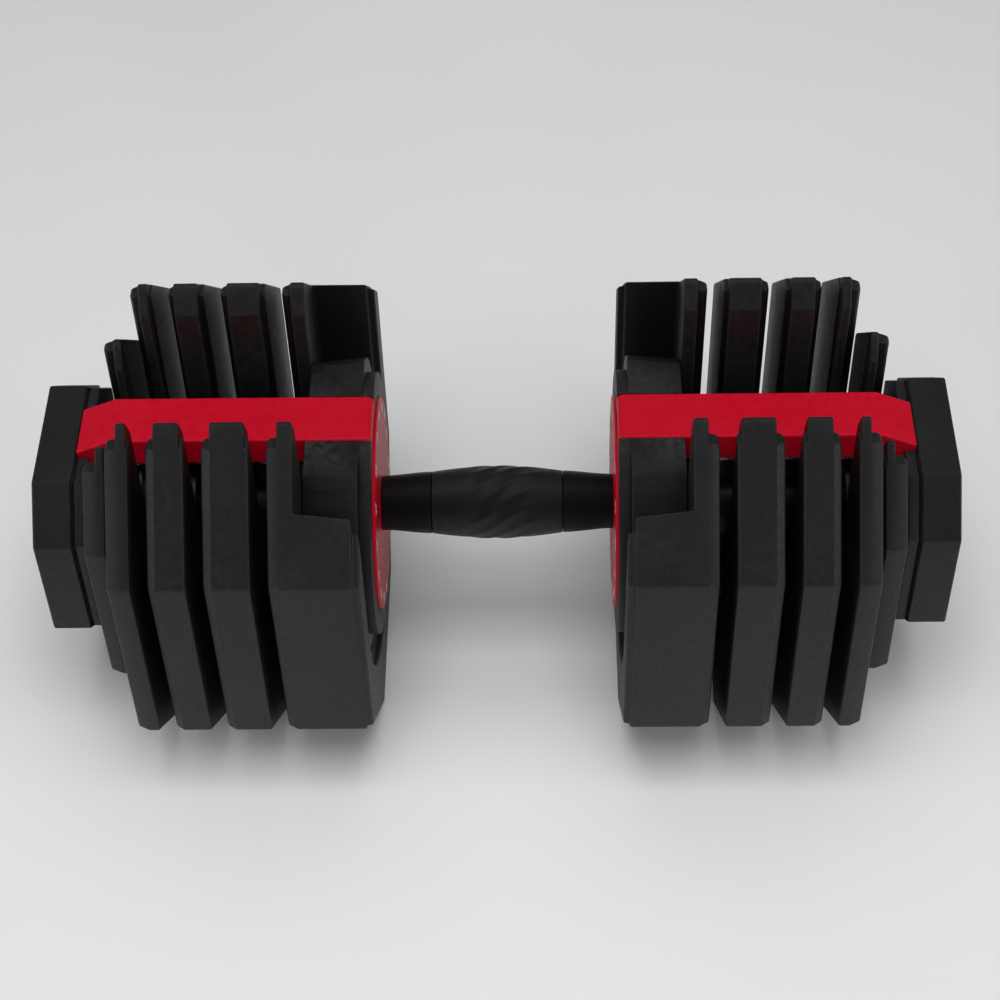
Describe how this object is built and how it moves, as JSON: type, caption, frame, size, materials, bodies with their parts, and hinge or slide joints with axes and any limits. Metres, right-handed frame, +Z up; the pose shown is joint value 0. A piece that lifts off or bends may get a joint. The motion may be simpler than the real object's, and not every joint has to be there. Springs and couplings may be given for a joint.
{
  "type": "adjustable dumbbell",
  "caption": "Adjustable dumbbell with a twist handle: numbered red dials, red bridge covers, octagonal lift-off plates with open slots, and fixed end weights.",
  "frame": {"origin": "on the handle's axis, midway between the two heads, which is also the centre of the whole box", "axes": "+X along the handle towards the right head, +Y away from the user, +Z up out of the plates' open slots"},
  "size_m": [0.441, 0.2, 0.216],
  "materials": {
    "black_plastic": "fine moulded grain, satin",
    "red_plastic": "smooth satin moulding",
    "grip_rubber": "moulded swirl ribs, soft satin",
    "black_satin_tube": "black satin powder coat",
    "black_steel": "black oxide",
    "bare_steel": "turned and milled",
    "zinc_steel": "bright zinc plate",
    "spring_steel": "drawn wire",
    "cast_iron": "rough casting",
    "bronze": "sintered bush"
  },
  "bodies": {
    "carrier": {"shaft_bushes": "bronze", "beam_screws": "zinc_steel", "drum_cover_screws": "zinc_steel", "end_screws": "zinc_steel", "drum_housing_left": "black_plastic", "drum_cover_left": "black_plastic", "bridge_beam_left": "bare_steel", "bridge_cover_left": "red_plastic", "end_backing_left": "black_plastic", "end_core_left": "cast_iron", "end_cover_left": "black_plastic", "drum_housing_right": "black_plastic", "drum_cover_right": "black_plastic", "bridge_beam_right": "bare_steel", "bridge_cover_right": "red_plastic", "end_backing_right": "black_plastic", "end_core_right": "cast_iron", "end_cover_right": "black_plastic"},
    "selector": {"shaft": "bare_steel", "handle_tube": "black_satin_tube", "grip_sleeve": "grip_rubber", "shaft_nuts": "zinc_steel", "dial_left": "red_plastic", "index_wheel_left": "bare_steel", "selector_disc_1_left": "black_steel", "selector_disc_2_left": "black_steel", "selector_disc_3_left": "black_steel", "selector_disc_4_left": "black_steel", "selector_disc_5_left": "black_steel", "dial_right": "red_plastic", "index_wheel_right": "bare_steel", "selector_disc_1_right": "black_steel", "selector_disc_2_right": "black_steel", "selector_disc_3_right": "black_steel", "selector_disc_4_right": "black_steel", "selector_disc_5_right": "black_steel"},
    "lock_left": {"lock_slider_left": "zinc_steel", "lock_spring_left": "spring_steel"},
    "lock_right": {"lock_slider_right": "zinc_steel", "lock_spring_right": "spring_steel"},
    "plate_1_left": {"plate_cover_1_left": "black_plastic", "plate_core_1_left": "cast_iron"},
    "plate_2_left": {"plate_cover_2_left": "black_plastic", "plate_core_2_left": "cast_iron"},
    "plate_3_left": {"plate_cover_3_left": "black_plastic", "plate_core_3_left": "cast_iron"},
    "plate_4_left": {"plate_cover_4_left": "black_plastic", "plate_core_4_left": "cast_iron"},
    "plate_5_left": {"plate_cover_5_left": "black_plastic", "plate_core_5_left": "cast_iron"},
    "plate_1_right": {"plate_cover_1_right": "black_plastic", "plate_core_1_right": "cast_iron"},
    "plate_2_right": {"plate_cover_2_right": "black_plastic", "plate_core_2_right": "cast_iron"},
    "plate_3_right": {"plate_cover_3_right": "black_plastic", "plate_core_3_right": "cast_iron"},
    "plate_4_right": {"plate_cover_4_right": "black_plastic", "plate_core_4_right": "cast_iron"},
    "plate_5_right": {"plate_cover_5_right": "black_plastic", "plate_core_5_right": "cast_iron"}
  },
  "joints": [
    {"name": "handle_twist", "type": "hinge", "parent": "carrier", "child": "selector", "pos_m": [0, 0, 0], "axis": [1, 0, 0], "range_deg": [0, 337.5]},
    {"name": "lock_slide_left", "type": "slide", "parent": "carrier", "child": "lock_left", "axis": [0, 0, -1], "range_m": [0, 0.005], "stiffness_N_per_m": 200, "springref_m": 0.012, "deforming": ["lock_spring_left"]},
    {"name": "lock_slide_right", "type": "slide", "parent": "carrier", "child": "lock_right", "axis": [0, 0, -1], "range_m": [0, 0.005], "stiffness_N_per_m": 200, "springref_m": 0.012, "deforming": ["lock_spring_right"]},
    {"name": "plate_lift_1_left", "type": "slide", "parent": "carrier", "child": "plate_1_left", "axis": [0, 0, -1], "range_m": [0, 0.185]},
    {"name": "plate_lift_2_left", "type": "slide", "parent": "carrier", "child": "plate_2_left", "axis": [0, 0, -1], "range_m": [0, 0.185]},
    {"name": "plate_lift_3_left", "type": "slide", "parent": "carrier", "child": "plate_3_left", "axis": [0, 0, -1], "range_m": [0, 0.185]},
    {"name": "plate_lift_4_left", "type": "slide", "parent": "carrier", "child": "plate_4_left", "axis": [0, 0, -1], "range_m": [0, 0.185]},
    {"name": "plate_lift_5_left", "type": "slide", "parent": "carrier", "child": "plate_5_left", "axis": [0, 0, -1], "range_m": [0, 0.185]},
    {"name": "plate_lift_1_right", "type": "slide", "parent": "carrier", "child": "plate_1_right", "axis": [0, 0, -1], "range_m": [0, 0.185]},
    {"name": "plate_lift_2_right", "type": "slide", "parent": "carrier", "child": "plate_2_right", "axis": [0, 0, -1], "range_m": [0, 0.185]},
    {"name": "plate_lift_3_right", "type": "slide", "parent": "carrier", "child": "plate_3_right", "axis": [0, 0, -1], "range_m": [0, 0.185]},
    {"name": "plate_lift_4_right", "type": "slide", "parent": "carrier", "child": "plate_4_right", "axis": [0, 0, -1], "range_m": [0, 0.185]},
    {"name": "plate_lift_5_right", "type": "slide", "parent": "carrier", "child": "plate_5_right", "axis": [0, 0, -1], "range_m": [0, 0.185]}
  ]
}
